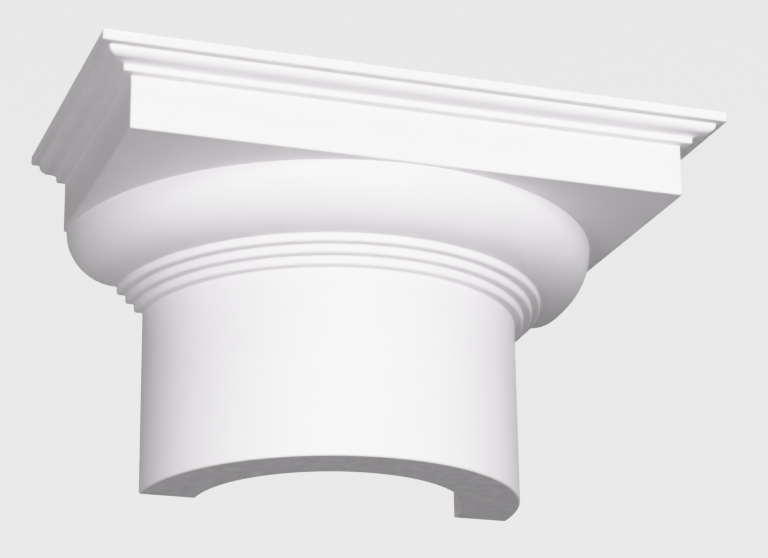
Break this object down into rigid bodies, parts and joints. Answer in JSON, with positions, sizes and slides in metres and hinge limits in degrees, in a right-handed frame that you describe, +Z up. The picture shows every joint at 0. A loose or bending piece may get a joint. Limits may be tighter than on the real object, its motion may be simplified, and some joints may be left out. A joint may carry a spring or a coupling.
{
  "type": "doric half-column capital",
  "caption": "Half-round doric capital with a plain neck, ringed annulets, a rounded echinus and a moulded abacus; its flat open back sits against a wall above a half column.",
  "frame": {"origin": "centre of the bounding box's underside, on the plane of the neck's foot; the axis of the turned neck stands at x = 0 in the flat back, y = +0.089", "axes": "+X along the abacus, to the right seen from the front; +Y from the front to the wall; +Z up"},
  "size_m": [0.354, 0.178, 0.1948],
  "materials": {
    "white_primer": "matte"
  },
  "bodies": {
    "root": {"half_capital": "white_primer"}
  },
  "joints": []
}
